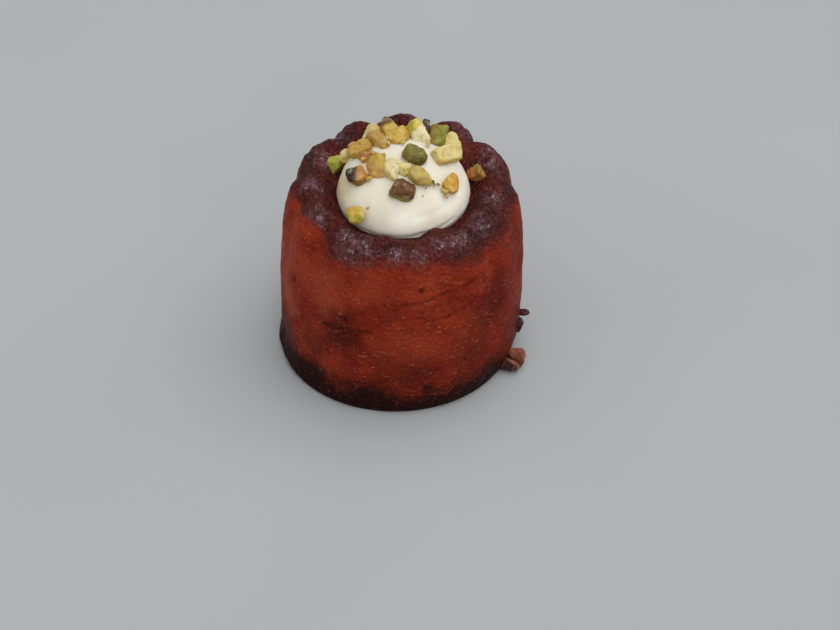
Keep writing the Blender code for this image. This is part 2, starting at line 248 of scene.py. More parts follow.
# Each piece: its kind, its centre, its length, width and thickness, and its turn in degrees.
CREAM_NUTS = (
    ("chunk", (-11.3, 4.3, 47.8), (3.8, 3.2, 2.8), (-35, -25, 60)),
    ("slice", (-8.2, 2.4, 50.5), (5.6, 5.0, 3.6), (10, -25, 0)),
    ("half", (-4.4, 3.4, 52.3), (7.2, 3.9, 3.2), (20, 10, -60)),
    ("chunk", (-5.9, 8.4, 50.6), (4.8, 4.0, 3.2), (40, -35, 35)),
    ("chunk", (-2.2, 9.0, 51.6), (5.4, 4.4, 3.8), (15, -50, 70)),
    ("chunk", (-0.1, 4.2, 53.0), (5.0, 4.2, 3.4), (35, -20, 25)),
    ("chunk", (4.2, 5.7, 52.7), (6.6, 4.2, 3.6), (15, 45, -65)),
    ("chunk", (5.9, 8.7, 51.8), (4.4, 2.4, 2.0), (10, -50, 75)),
    ("block", (8.4, 6.6, 51.2), (5.2, 4.2, 3.8), (10, -45, 75)),
    ("slice", (11.9, 5.5, 49.2), (6.6, 3.8, 2.2), (15, 40, -55)),
    ("block", (9.9, -0.6, 51.1), (6.0, 4.2, 2.4), (40, 5, 35)),
    ("whole", (3.4, -2.8, 52.8), (6.0, 4.4, 3.4), (20, 15, -15)),
    ("chunk", (-4.7, -5.0, 51.0), (6.8, 5.0, 3.6), (15, 20, -75)),
    ("chunk", (-1.5, -6.3, 51.6), (4.6, 4.0, 3.0), (10, -25, 60)),
    ("slice", (-8.9, -5.8, 49.8), (5.2, 4.4, 2.6), (30, 0, -45)),
    ("half", (4.5, -8.0, 50.9), (6.0, 4.0, 3.0), (25, 20, -25)),
    ("half", (0.8, -11.3, 49.8), (5.8, 4.8, 3.4), (35, 10, -15)),
    ("slice", (11.1, -7.3, 48.4), (5.2, 3.8, 1.6), (35, -15, 70)),
    ("chunk", (1.3, -6.2, 51.3), (3.6, 3.0, 2.2), (20, -5, 20)),
    ("chunk", (-9.4, -13.4, 44.6), (4.8, 3.6, 3.0), (35, -10, -20)),
    ("chunk", (-6.7, -1.2, 51.0), (4.6, 3.6, 3.2), (15, -20, 35)),
)
CAKE_NUTS = (
    ("chunk", (-14.2, 5.9, 44.4), (5.0, 3.6, 3.8), (10, -20, 63)),
    ("chunk", (16.9, 3.4, 43.4), (4.2, 3.8, 3.2), (30, -40, -5)),
)
# Scraps of crust that stuck to the side: at the foot on the right, and a bead above it.
SCRAPS = (
    ("chunk", (26.0, -9.6, 2.7), (5.6, 4.0, 4.8), (0, 20, -25)),
    ("chunk", (24.4, -12.2, 1.9), (5.0, 3.4, 3.0), (0, 10, -40)),
    ("whole", (28.05, -2.4, 9.1), (2.7, 1.6, 1.6), (0, -10, -5)),
    ("chunk", (26.9, -3.2, 6.4), (2.4, 3.4, 4.2), (0, 0, -8)),
)
# Each piece's flesh, its skin, the side that the skin lies on, and where the skin starts.
CREAM_NUT_COATS = (
    ("pale", "ivory", (-0.6, -0.3, 0.7), 0.4),
    ("caramel", "straw", (-0.5, 0.3, 0.8), 0.0),
    ("butter", "amber", (-0.8, -0.3, -0.3), 0.6),
    ("straw", "ivory", (-0.5, 0.4, 0.6), 0.1),
    ("gold", "brown", (-0.4, 0.4, 0.8), 0.45),
    ("gold", "straw", (0.7, 0.0, -0.5), 0.3),
    ("white", "lime", (-0.6, 0.3, 0.8), 0.35),
    ("brown", "black", (0.5, 0.0, 0.8), 0.3),
    ("olive", "leaf", (0.9, -0.2, 0.1), 0.1),
    ("ivory", "straw", (0.8, 0.3, -0.4), 0.7),
    ("ivory", "pale", (0.3, -0.9, -0.6), 0.45),
    ("olive", "moss", (0.3, -0.7, -0.5), 0.35),
    ("peach", "gold", (0.3, 0.2, 0.8), 0.3),
    ("white", "ivory", (-0.5, -0.5, -0.2), 0.6),
    ("caramel", "black", (-0.85, -0.1, 0.5), 0.3),
    ("butter", "pale", (0.2, -0.8, -0.3), 0.35),
    ("olive", "brown", (0.35, -0.3, 0.85), -0.15),
    ("orange", "amber", (0.3, 0.7, 0.3), 0.8),
    ("ivory", "butter", (0.2, -0.5, 0.2), 0.3),
    ("lime", "gold", (-0.3, 0.2, 0.8), 0.45),
    ("caramel", "amber", (0.5, 0.3, 0.4), -0.1),
)
CAKE_NUT_COATS = (
    ("sprout", "leaf", (-0.3, -0.6, -0.6), 0.3),
    ("olive", "amber", (-0.5, -0.5, -0.3), -0.1),
)
SCRAP_COATS = (
    ("crumb", "burnt", (-0.4, 0.6, -0.5), 0.55),
    ("burnt", "crumb", (0.6, 0.3, 0.5), 0.4),
    ("burnt", "burnt", (0.6, -0.2, 0.6), 0.9),
    ("burnt", "burnt", (0.6, -0.2, 0.6), 0.9),
)
# Small bits that broke off: where, how long, wide and thick, and their tone.
BITS = (
    ((7.3, -8.6, 49.5), (1.5, 0.8, 0.6), "moss"), ((8.2, -8.9, 49.2), (1.0, 0.7, 0.5), "leaf"),
    ((9.6, -9.6, 48.2), (1.9, 1.3, 0.8), "pale"), ((10.1, -10.5, 47.2), (1.1, 0.9, 0.6), "pale"),
    ((4.9, -12.2, 48.6), (0.5, 0.4, 0.3), "moss"), ((5.6, -10.4, 49.4), (0.5, 0.4, 0.3), "brown"),
    ((-6.7, -14.0, 46.9), (0.9, 0.7, 0.5), "orange"),
    ((-5.4, -1.2, 52.3), (2.0, 1.5, 1.2), "peach"),
    ((-7.6, -2.2, 51.4), (1.8, 1.5, 1.2), "gold"), ((-3.2, -2.4, 52.6), (1.2, 1.0, 0.8), "butter"),
    ((-2.2, 1.2, 53.2), (1.0, 0.8, 0.7), "ivory"), ((0.8, 1.4, 53.2), (1.3, 1.0, 0.8), "butter"),
    ((6.4, 2.2, 52.4), (1.6, 1.2, 1.0), "ivory"), ((-7.0, 5.4, 51.0), (1.5, 1.3, 1.0), "amber"),
    ((2.0, 8.0, 52.2), (1.6, 1.2, 1.0), "straw"), ((-6.4, -7.6, 50.2), (1.6, 1.2, 1.0), "gold"),
)
# The broken faces of each kind: the way a face looks, and how far out it lies. A whole one
# has none.
CUTS = {
    "half": ((0.1, 0.0, -1.0, 0.3), (-1.0, 0.1, 0.2, 0.8)),
    "slice": ((0.0, 0.1, 1.0, 0.55), (0.1, 0.0, -1.0, 0.5), (0.3, 1.0, 0.0, 0.7)),
    "block": (
        (1.0, 0.1, 0.0, 0.75), (-1.0, 0.0, 0.1, 0.7), (0.1, 1.0, 0.0, 0.65),
        (0.0, -1.0, 0.1, 0.7), (0.0, 0.1, 1.0, 0.65), (0.1, 0.0, -1.0, 0.6),
    ),
}
# A chunk breaks at random: how many faces, and how far out they lie.
CHUNK_CUTS = 4
CHUNK_REACH = (0.45, 0.7)
# Every piece has small chips off its corners: how many, and how far out they lie.
CHIPS = 5
CHIP_REACH = (0.75, 1.0)
# How soft the edge of a broken face is, and how deep a cut shows only flesh.
NUT_EDGE = 0.075
CUT_DEPTH = 0.22
# How square each kind of piece is: 2 is round.
SQUARENESS = {"whole": 2.1, "half": 2.3, "slice": 3.0, "block": 4.5, "chunk": 3.0}
# The lumps of a piece: how fine and how high. Its form keeps a little room for them.
NUT_LUMPS = ((1.0, 0.30), (3.1, 0.14), (8.0, 0.05))
LUMP_SCALE = 0.6
LUMP_ROOM = 0.96
NUT_DIVISIONS = 5
BIT_DIVISIONS = 3
# Where the random draws of each kind start.
CREAM_NUT_SEED = 200
CAKE_NUT_SEED = 100
SCRAP_SEED = 102
BIT_SEED = 400
BIT_TURN_SEED = 31
SEED_APART = 17.0
# The palest that nuts and scraps get, what their darker places keep of their colour, how
# high their fibres stand, and how much oil shines on them.
NUT_PALEST = (0.82, 0.73, 0.38)
SCRAP_PALEST = (0.45, 0.20, 0.11)
DEEPENING = (0.66, 0.50, 0.30)
NUT_FIBRE = 0.05
SCRAP_FIBRE = 0.16
NUT_OIL = 0.28
SCRAP_OIL = 0.12

# The view: where the camera stands in metres, how far it looks down and turns in degrees, and
# its lens and sensor.
CAMERA_PLACE = (0.0, -0.35766, 0.29379)
CAMERA_DOWN = 38.76
CAMERA_TURN = -0.72
LENS = 85.714
SENSOR = 36.0
# The lights: where each shines from, how strong, how wide in degrees, and its colour.
LIGHTS = {
    "key": ((0.30, 0.12, 1.0), 1.05, 60.0, (1.0, 0.985, 0.965)),
    "fill": ((0.45, -0.75, 0.7), 0.52, 90.0, (1.0, 0.99, 0.97)),
    "sheen": ((0.1, -0.5, 0.85), 0.3, 14.0, (1.0, 1.0, 1.0)),
}
SKY = (0.95, 0.975, 1.0, 1.0)
SKY_STRENGTH = 0.6
FLOOR_REACH = 3.0
FLOOR_DEEP = (0.39, 0.402, 0.408)
FLOOR_PALE = (0.41, 0.422, 0.428)


class Field:
    """A value that nodes work out. The usual signs add the node that does the sum."""

    def __init__(self, maker, socket):
        self.maker = maker
        self.socket = socket

    def __add__(self, other):
        return self.maker.math("ADD", self, other)

    def __radd__(self, other):
        return self.maker.math("ADD", other, self)

    def __sub__(self, other):
        return self.maker.math("SUBTRACT", self, other)

    def __rsub__(self, other):
        return self.maker.math("SUBTRACT", other, self)

    def __mul__(self, other):
        return self.maker.math("MULTIPLY", self, other)

    def __rmul__(self, other):
        return self.maker.math("MULTIPLY", other, self)

    def __truediv__(self, other):
        return self.maker.math("DIVIDE", self, other)


class Maker:
    """Adds nodes to one tree, and joins a number, a colour or a Field to each socket."""

    def __init__(self, tree):
        self.tree = tree

    def node(self, kind, inputs=None, **settings):
        made = self.tree.nodes.new(kind)
        for name, value in settings.items():
            setattr(made, name, value)
        for key, value in (inputs or {}).items():
            if isinstance(value, Field):
                self.tree.links.new(value.socket, made.inputs[key])
            else:
                made.inputs[key].default_value = value
        return made

    def field(self, kind, output, inputs=None, **settings):
        return Field(self, self.node(kind, inputs, **settings).outputs[output])

    def math(self, operation, *values):
        return self.field("ShaderNodeMath", 0, dict(enumerate(values)), operation=operation)

    def sin(self, value):
        return self.math("SINE", value)

    def cos(self, value):
        return self.math("COSINE", value)

    def bell(self, value):
        """1 where the value is 0, falling off softly on both sides."""
        return self.math("EXPONENT", 0.0 - value * value)

    def ease(self, value, low, high):
        """From 0 at low to 1 at high, with soft ends."""
        inputs = {"Value": value, "From Min": low, "From Max": high}
        return self.field("ShaderNodeMapRange", "Result", inputs, interpolation_type="SMOOTHSTEP")

    def vector(self, x, y, z):
        return self.field("ShaderNodeCombineXYZ", 0, {0: x, 1: y, 2: z})

    def parts(self, vector):
        split = self.node("ShaderNodeSeparateXYZ", {0: vector})
        return [Field(self, output) for output in split.outputs]

    def scaled(self, vector, factor):
        inputs = {0: vector, "Scale": factor}
        return self.field("ShaderNodeVectorMath", 0, inputs, operation="SCALE")

    def distance(self, vector, point):
        inputs = {0: vector, 1: point}
        return self.field("ShaderNodeVectorMath", "Value", inputs, operation="DISTANCE")

    def times(self, vector, factors):
        inputs = {0: vector, 1: factors}
        return self.field("ShaderNodeVectorMath", 0, inputs, operation="MULTIPLY")

    def plus(self, vector, other):
        return self.field("ShaderNodeVectorMath", 0, {0: vector, 1: other}, operation="ADD")

    def noise(self, vector, scale, detail=1.0, roughness=0.5):
        """Soft unevenness from about -1 to 1, scale being lumps to the millimetre."""
        inputs = {"Vector": vector, "Scale": scale, "Detail": detail, "Roughness": roughness}
        return (self.field("ShaderNodeTexNoise", 0, inputs) - 0.5) * 3.0

    def cells(self, vector, scale):
        """How far each point is from the middle of its cell, as a share of the cell's width."""
        inputs = {"Vector": vector, "Scale": scale}
        return self.field("ShaderNodeTexVoronoi", "Distance", inputs)

    def mix(self, share, first, second):
        """The first colour at share 0, the second at 1."""
        made = self.node("ShaderNodeMix", {0: share}, data_type="RGBA")
        for socket, value in ((made.inputs[6], first), (made.inputs[7], second)):
            if isinstance(value, Field):
                self.tree.links.new(value.socket, socket)
            else:
                socket.default_value = (*value, 1.0)
        return Field(self, made.outputs[2])

    def named(self, name):
        """A number that was stored on the mesh."""
        if self.tree.bl_idname == "ShaderNodeTree":
            return self.field("ShaderNodeAttribute", "Fac", attribute_name=name)
        inputs = {"Name": name}
        return self.field("GeometryNodeInputNamedAttribute", 0, inputs, data_type="FLOAT")

    def stored(self, geometry, name, value):
        inputs = {"Geometry": geometry, "Name": name, "Value": value}
        return self.field("GeometryNodeStoreNamedAttribute", 0, inputs, data_type="FLOAT")


def smooth_line(knots, spans):
    """Points on a soft curve through the knots, spans[i] of them between knots i and i + 1."""
    knots = [np.array(knot) for knot in knots]
    ends = [2 * knots[0] - knots[1], *knots, 2 * knots[-1] - knots[-2]]
    line = [knots[0]]
    for a, b, c, d, count in zip(ends, ends[1:], ends[2:], ends[3:], spans):
        for step in range(1, count + 1):
            t = step / count
            line.append(
                0.5 * (2 * b + (c - a) * t + (2 * a - 5 * b + 4 * c - d) * t * t
                       + (3 * b - a - 3 * c + d) * t ** 3)
            )
    return line


def spans_of(knots, spacings):
    """How many steps each stretch between two knots takes, at its own spacing."""
    lengths = [math.dist(a, b) for a, b in zip(knots, knots[1:])]
    return [max(2, round(length / gap)) for length, gap in zip(lengths, spacings)]


def cake_line():
    """From the middle of the dish over the crest, down the outer side and in to the axis."""
    dish = CREST_HEIGHT - DISH_HEIGHT
    knots = [
        (0.7 * DISH_RADIUS, DISH_HEIGHT),
        (DISH_RADIUS, DISH_HEIGHT + 0.08 * dish),
        (0.36 * CREST_RADIUS + 0.64 * DISH_RADIUS, DISH_HEIGHT + 0.42 * dish),
        (0.72 * CREST_RADIUS + 0.28 * DISH_RADIUS, DISH_HEIGHT + 0.85 * dish),
        (CREST_RADIUS, CREST_HEIGHT),
        (0.6 * SHOULDER_RADIUS + 0.4 * CREST_RADIUS, 0.4 * SHOULDER_HEIGHT + 0.6 * CREST_HEIGHT),
        (SHOULDER_RADIUS, SHOULDER_HEIGHT),
        (BELLY_RADIUS - 0.5, 0.6 * SHOULDER_HEIGHT + 0.4 * BELLY_HEIGHT),
        (BELLY_RADIUS, BELLY_HEIGHT),
        (0.5 * (BASE_RADIUS + BELLY_RADIUS), 0.5 * BELLY_HEIGHT),
        (BASE_RADIUS, 3.4),
        (BASE_RADIUS - 0.5, 1.2),
        (FOOT_RADIUS, 0.0),
    ]
    line = smooth_line(knots, spans_of(knots, CAKE_SPACINGS))
    foot = [(FOOT_RADIUS * share, 0.0) for share in (0.97, 0.85, 0.6, 0.3)]
    return [(0.0, DISH_HEIGHT), (0.35 * DISH_RADIUS, DISH_HEIGHT), *line, *foot, (0.0, 0.0)]


def cream_line():
    """From the soft peak, round the fat side and in along the foot."""
    wide = CREAM_RADIUS
    tall = CREAM_HEIGHT
    knots = [
        (0.16 * wide, tall),
        (0.48 * wide, 0.89 * tall),
        (0.76 * wide, 0.71 * tall),
        (0.93 * wide, 0.465 * tall),
        (wide, CREAM_BELLY),
        (0.985 * wide, 0.4 * CREAM_BELLY),
        (CREAM_FOOT_RADIUS, 0.1),
        (0.6 * CREAM_FOOT_RADIUS, 0.0),
    ]
    line = smooth_line(knots, spans_of(knots, CREAM_SPACINGS))
    return [(0.0, 1.01 * tall), (0.08 * wide, 1.005 * tall), *line, (0.0, 0.0)]


def line_mesh(name, line):
    """The line as edges, radius along x and height along z."""
    mesh = bpy.data.meshes.new(name)
    edges = [(i, i + 1) for i in range(len(line) - 1)]
    mesh.from_pydata([(radius, 0.0, height) for radius, height in line], edges, [])
    return mesh


def new_tree(name, sizes):
    """A tree for Geometry Nodes with one named input for each size, and the finish."""
    tree = bpy.data.node_groups.new(name, "GeometryNodeTree")
    tree.interface.new_socket("Line", in_out="INPUT", socket_type="NodeSocketGeometry")
    for label, value in sizes.items():
        kind = "NodeSocketInt" if isinstance(value, int) else "NodeSocketFloat"
        tree.interface.new_socket(label, in_out="INPUT", socket_type=kind)
    tree.interface.new_socket("Finish", in_out="INPUT", socket_type="NodeSocketMaterial")
    tree.interface.new_socket("Form", in_out="OUTPUT", socket_type="NodeSocketGeometry")
    maker = Maker(tree)
    entry = maker.node("NodeGroupInput")
    return maker, {socket.name: Field(maker, socket) for socket in entry.outputs if socket.name}


def end_tree(maker, geometry, finish):
    """Smooth faces, real mesh, its material, and the form as output."""
    smooth = maker.field("GeometryNodeSetShadeSmooth", 0, {"Geometry": geometry})
    real = maker.field("GeometryNodeRealizeInstances", 0, {"Geometry": smooth})
    done = maker.field("GeometryNodeSetMaterial", 0, {"Geometry": real, "Material": finish})
    maker.node("NodeGroupOutput", {0: done})


def grown(name, mesh, maker, sizes, finish):
    """Runs a tree on a mesh and keeps the result as a plain mesh, in metres."""
    obj = bpy.data.objects.new(name, mesh)
    bpy.context.scene.collection.objects.link(obj)
    modifier = obj.modifiers.new("form", "NODES")
    modifier.node_group = maker.tree
    for item in maker.tree.interface.items_tree:
        if item.in_out == "INPUT" and item.name in sizes:
            modifier[item.identifier] = sizes[item.name]
        elif item.in_out == "INPUT" and item.name == "Finish":
            modifier[item.identifier] = finish
    graph = bpy.context.evaluated_depsgraph_get()
    obj.data = bpy.data.meshes.new_from_object(obj.evaluated_get(graph))
    obj.modifiers.clear()
    obj.data.transform(Matrix.Scale(MM, 4))
    return obj


def turned_grid(maker, line, steps):
    """A grid with a column for each step round and a row for each point of the line.

    Returns the grid, and the radius, height and angle of each of its points."""
    size = maker.node("GeometryNodeAttributeDomainSize", {"Geometry": line})
    rows = Field(maker, size.outputs["Point Count"])
    grid = maker.field(
        "GeometryNodeMeshGrid", 0, {"Vertices X": steps + 1, "Vertices Y": rows}
    )
    grid = maker.field("GeometryNodeFlipFaces", 0, {"Mesh": grid})
    index = maker.field("GeometryNodeInputIndex", 0)
    column = maker.math("FLOOR", (index + 0.5) / rows)
    row = index - column * rows
    where = maker.field("GeometryNodeInputPosition", 0)
    inputs = {"Geometry": line, "Value": where, "Index": row}
    spot = maker.field("GeometryNodeSampleIndex", 0, inputs, data_type="FLOAT_VECTOR")
    radius, _, height = maker.parts(spot)
    return grid, radius, height, column * FULL_TURN / steps


def settled(maker, x, y, z, size):
    """The baked cake leans a little, and its top slopes down to the front."""
    rise = maker.math("MAXIMUM", z, 0.0) / CREST_HEIGHT
    in_foot = 1.0 - maker.ease(z, 0.0, FOOT_SHIFT_HEIGHT)
    across = x + size["Lean"] * rise + FOOT_SHIFT * in_foot
    return maker.vector(across, y, z + (size["Top Slope"] * y + TOP_TILT * x) * rise * rise)


def waves(maker, angle, kinds):
    """Waves round the cake, each a number of crests, how high they are and where they start."""
    return sum(high * maker.sin(angle * crests + start) for crests, high, start in kinds)


def groove(maker, angle, size):
    """1 in the middle of a groove and 0 on a lobe, each flute a little its own."""
    turned = angle + waves(maker, angle, GROOVE_DRIFT)
    across = maker.sin(0.5 * size["Flutes"] * turned + 0.5 * math.pi)
    depth = 1.0 + waves(maker, angle, GROOVE_DEPTHS)
    return depth * maker.bell(across / size["Groove Width"])


def creases(maker):
    """How far each point is from the nearest crease of the crust."""
    joined = maker.node("GeometryNodeJoinGeometry")
    for start, bend, end in CREASES:
        inputs = {"Start": start, "Middle": bend, "End": end}
        curve = maker.node("GeometryNodeCurveQuadraticBezier", inputs)
        maker.tree.links.new(curve.outputs[0], joined.inputs[0])
    wires = maker.field("GeometryNodeCurveToMesh", 0, {0: Field(maker, joined.outputs[0])})
    return maker.field("GeometryNodeProximity", 1, {0: wires}, target_element="EDGES")


def holes(maker, spot):
    """1 in the middle of each burst bubble of the side, and 0 away from them."""
    return sum(maker.bell(maker.distance(spot, place) / wide) for place, wide in HOLES)


def bumps(maker, spot):
    """How high the bumps of the crust lift each point."""
    return sum(
        high * maker.bell(maker.distance(spot, place) / wide) for place, wide, high in BUMPS
    )


def crust_relief(maker, size):
    """How far the bake lifts each point of the crust along its normal."""
    spot = maker.field("GeometryNodeInputPosition", 0)
    height, radius, carve = (maker.named(name) for name in ("height", "radius", "carve"))
    skin = maker.ease(height, 0.2, 1.6) * maker.ease(radius, 3.0, 9.0)
    top = maker.ease(height, *RELIEF_TOP)
    foot = 1.0 - maker.ease(height, *RELIEF_FOOT)
    lumps = sum(
        maker.noise(maker.times(spot, squeeze), scale, detail)
        * (on_side + on_top * top + at_foot * foot)
        for scale, detail, squeeze, on_side, on_top, at_foot in RELIEF
    )
    bubble = 1.0 - maker.ease(maker.cells(spot, size["Blisters"]), 0.0, 0.55)
    patch = maker.ease(maker.noise(spot, 0.22), -0.15, 0.5)
    blister = bubble * (0.04 + size["Blister Height"] * top) * (0.35 + patch)
    lobe = maker.ease(height, 34.5, 39.0) * maker.ease(radius, 15.5, 19.0) * (1.0 - 0.6 * carve)
    pore = 1.0 - maker.ease(maker.cells(maker.plus(spot, PORE_START), size["Pores"]), 0.1, 0.4)
    porous = (lobe * 0.9 + 0.1) * maker.ease(maker.noise(spot, 0.35), -0.5, 0.3)
    pits = pore * size["Pore Depth"] * porous + maker.named("hole") * size["Hole Depth"]
    furrow = maker.named("crease") * size["Crease Depth"]
    return skin * (lumps + blister + bumps(maker, spot) - pits - furrow - SKIN_SUNK)


def cake_tree(sizes):
    """Turns the line into the fluted cake, then lifts the baked crust."""
    maker, size = new_tree("fluted_crust", sizes)
    grid, radius, height, angle = turned_grid(maker, size["Line"], size["Steps Round"])
    out = maker.ease(radius, size["Dish Radius"], size["Crest Radius"])
    up = maker.ease(height, SHOULDER_HEIGHT - 2.0, CREST_HEIGHT)
    skin = maker.ease(height, 0.3, 2.5) * maker.ease(radius, 2.0, 9.0)
    carve = groove(maker, angle, size) * maker.ease(height, 0.2, 3.0)
    deeper = size["Groove at Shoulder"] - size["Groove at Base"]
    depth = size["Groove at Base"] + deeper * maker.ease(height, *GROOVE_DEEPENS)
    proud = sum(
        far * maker.bell((angle - place) / PROUD_LOBE_WIDTH) for place, far in PROUD_LOBES
    )
    reach = radius + out * (proud * maker.ease(height, *PROUD_HEIGHTS) - depth * carve)
    reach = reach + skin * out * waves(maker, angle, CAKE_SWELL)
    lifted = height + out * up * size["Lobe Lift"] * (0.55 - carve)
    x = reach * maker.cos(angle) + (1.0 - out) * DISH_CENTRE[0]
    y = reach * maker.sin(angle) + (1.0 - out) * DISH_CENTRE[1]
    form = maker.stored(grid, "height", height)
    form = maker.stored(form, "radius", radius)
    form = maker.stored(form, "carve", carve)
    inputs = {"Geometry": form, "Position": settled(maker, x, y, lifted, size)}
    form = maker.field("GeometryNodeSetPosition", 0, inputs)
    form = maker.field("GeometryNodeMergeByDistance", 0, {"Geometry": form, "Distance": 0.001})
    spot = maker.field("GeometryNodeInputPosition", 0)
    form = maker.stored(form, "hole", holes(maker, spot))
    form = maker.stored(form, "crease", maker.bell(creases(maker) / size["Crease Width"]))
    normal = maker.field("GeometryNodeInputNormal", 0)
    offset = maker.scaled(normal, crust_relief(maker, size))
    form = maker.field("GeometryNodeSetPosition", 0, {"Geometry": form, "Offset": offset})
    end_tree(maker, form, size["Finish"])
    return maker


def cream_tree(sizes):
    """Turns the line into the mound of cream, with the folds that its turns left."""
    maker, size = new_tree("piped_cream", sizes)
    grid, radius, height, angle = turned_grid(maker, size["Line"], size["Steps Round"])
    turned = maker.math("MODULO", angle + 0.5 * math.pi, FULL_TURN)
    pinch = 0.0
    for deep, start, climb, wide, fades, ends in FOLDS:
        fold = maker.ease(turned, 0.0, 0.3) * (1.0 - maker.ease(turned, fades, ends))
        above = height - start - climb * turned
        pinch = pinch + size["Fold Depth"] * deep * fold * maker.bell(above / wide)
    bulge = CREAM_FRONT_BULGE * (0.0 - maker.sin(angle)) * maker.ease(radius, 4.0, 14.0)
    reach = radius * (1.0 + waves(maker, angle, CREAM_SWELL)) * (1.0 + bulge) - pinch
    x = CREAM_CENTRE[0] + reach * maker.cos(angle)
    y = CREAM_CENTRE[1] + reach * maker.sin(angle)
    place = settled(maker, x, y, height + DISH_HEIGHT, size)
    form = maker.stored(grid, "height", height)
    form = maker.field("GeometryNodeSetPosition", 0, {"Geometry": form, "Position": place})
    form = maker.field("GeometryNodeMergeByDistance", 0, {"Geometry": form, "Distance": 0.001})
    spot = maker.field("GeometryNodeInputPosition", 0)
    inside = maker.ease(maker.named("height"), 0.1, 1.0)
    soft = maker.noise(spot, 0.12) * 0.22 + maker.noise(spot, 0.4) * 0.07
    normal = maker.field("GeometryNodeInputNormal", 0)
    offset = maker.scaled(normal, soft * inside)
    form = maker.field("GeometryNodeSetPosition", 0, {"Geometry": form, "Offset": offset})
    end_tree(maker, form, size["Finish"])
    return maker


def new_material(name):
    """A material with only its output and one Principled shader, and the maker for its nodes."""
    made = bpy.data.materials.new(name)
    made.use_nodes = True
    shader = made.node_tree.nodes["Principled BSDF"]
    maker = Maker(made.node_tree)
    where = maker.field("ShaderNodeTexCoord", "Object")
    return made, maker, shader, maker.scaled(where, 1.0 / MM)


def wire(maker, shader, values):
    """Sets each input of the shader, or joins it to a Field."""
    for name, value in values.items():
        if isinstance(value, Field):
            maker.tree.links.new(value.socket, shader.inputs[name])
        else:
            shader.inputs[name].default_value = value


def bumped(maker, height):
    """A normal from a height in millimetres."""
    inputs = {"Height": height, "Distance": MM, "Strength": 1.0}
    return maker.field("ShaderNodeBump", 0, inputs)


def patches(maker, spot, places, rough=0.0):
    """The sum of soft patches, each strongest in its middle and 0 beyond its reach."""
    return sum(
        high * (1.0 - maker.ease(maker.distance(spot, place) + rough, 0.2 * far, far))
        for place, far, high in places
    )


def layered(maker, colour, layers):
    """The colour under its layers, each the share that it covers and its own colour."""
    for share, over in layers:
        colour = maker.mix(share, colour, over)
    return colour


def noises_of(maker, spot, kinds):
    """Each kind of noise by its name."""
    return {
        name: maker.noise(maker.plus(spot, start), scale, detail, roughness)
        for name, (scale, detail, roughness, start) in kinds.items()
    }


def side_sparks(maker, spot, noises):
    """The streaks of the side, and where it glints and is flecked with wet: masks for its gloss,
    and for highlights painted into its colour.
    """
    drift, grain, fine = noises["drift"], noises["grain"], noises["fine"]
    warp = maker.vector(grain * 0.5, grain * 0.5, drift * 1.5)
    drawn = maker.times(maker.plus(spot, warp), (0.5, 0.5, 1.7))
    streak = maker.noise(drawn, 1.2, 4.0, 0.85)
    crowd = maker.ease(noises["crowd"], -0.5, 0.5)
    gloss_and_glint = maker.math("MAXIMUM", maker.ease(streak, 0.15, 0.85), maker.ease(fine, 0.15, 0.9))
    gloss_and_glint = gloss_and_glint * (0.35 + 0.65 * crowd)
    wet_and_glint_fleck = 1.0 - maker.ease(maker.cells(drawn, 1.1), 0.12, 0.42)
    wet_and_glint_fleck = wet_and_glint_fleck * maker.ease(fine, -0.2, 0.5) * (0.25 + 0.75 * crowd)
    return streak, gloss_and_glint, wet_and_glint_fleck


def side_colour(maker, spot, noises, streak, gloss_and_glint, wet_and_glint_fleck):
    """Red to orange, clouded and streaked with dark, near black towards the foot, with painted
    glints, and painted shade in its pits, holes and creases.
    """
    drift, grain, fine = noises["drift"], noises["grain"], noises["fine"]
    rough = drift * 2.5 + grain
    blotch = maker.math("MINIMUM", patches(maker, spot, BLOTCHES, rough), 0.9)
    # Painted shade: tiny pits, the holes and the creases are darkened to near black.
    pit_shade = 1.0 - maker.ease(maker.cells(spot, 0.21), 0.04, 0.08)
    pit_shade_marks = maker.math("MAXIMUM", pit_shade, maker.named("hole"))
    pit_shade_marks = maker.math("MAXIMUM", pit_shade_marks, 0.6 * maker.named("crease"))
    uneven = drift * 2.6 + grain * 2.0 + fine
    level = maker.named("height") - patches(maker, spot, FOOT_RISES) + uneven
    burnt = 1.0 - maker.ease(level, *BURNT_HEIGHTS)
    warm = maker.ease(noises["warmth"], -0.4, 0.5)
    return layered(maker, maker.mix(warm, SIDE_RED, SIDE_ORANGE), (
        (maker.ease(noises["clouds"], -0.3, 0.9) * 0.6, SIDE_DARK),
        (patches(maker, spot, LIGHTER, rough), SIDE_LIGHT),
        (blotch, SIDE_DARK),
        (maker.ease(streak, 0.0, -0.9) * 0.75, SIDE_DARK),
        (maker.ease(fine, 0.0, -0.9) * 0.5, SIDE_DARK),
        # Painted highlights: glints and wet flecks lightened into the colour.
        (gloss_and_glint * 0.5, SIDE_PAINTED_SPECK),
        (wet_and_glint_fleck * 0.8, SIDE_PAINTED_GLINT),
        (pit_shade_marks * 0.9, FOOT_BLACK),
        (burnt * (1.0 - 0.7 * wet_and_glint_fleck), FOOT_BLACK),
    ))


def top_sparks(maker, spot, noises):
    """How glossy the top is, which also places its painted sheen, its pores as 0, and the bright
    sparks round them, glossy and painted as glints.
    """
    gloss_and_sheen = sum(maker.bell(maker.distance(spot, place) / (0.85 * wide)) for place, wide in SHEENS)
    gloss_and_sheen = maker.math("MINIMUM", gloss_and_sheen, 1.0) * maker.ease(noises["sheen_patches"], -0.5, 0.4)
    grain = noises["grain"] * 0.12
    bend = maker.vector(grain, noises["fine"] * 0.12, grain)
    middle = maker.cells(maker.plus(maker.plus(spot, bend), PORE_START), 1.5)
    pore = maker.ease(middle, 0.16, 0.32)
    web = maker.bell((middle - 0.40) / 0.09)
    gloss_and_glint_spark = web * maker.ease(noises["chance"], -0.2, 0.4) * (0.08 + 0.92 * gloss_and_sheen)
    return gloss_and_sheen, pore, gloss_and_glint_spark


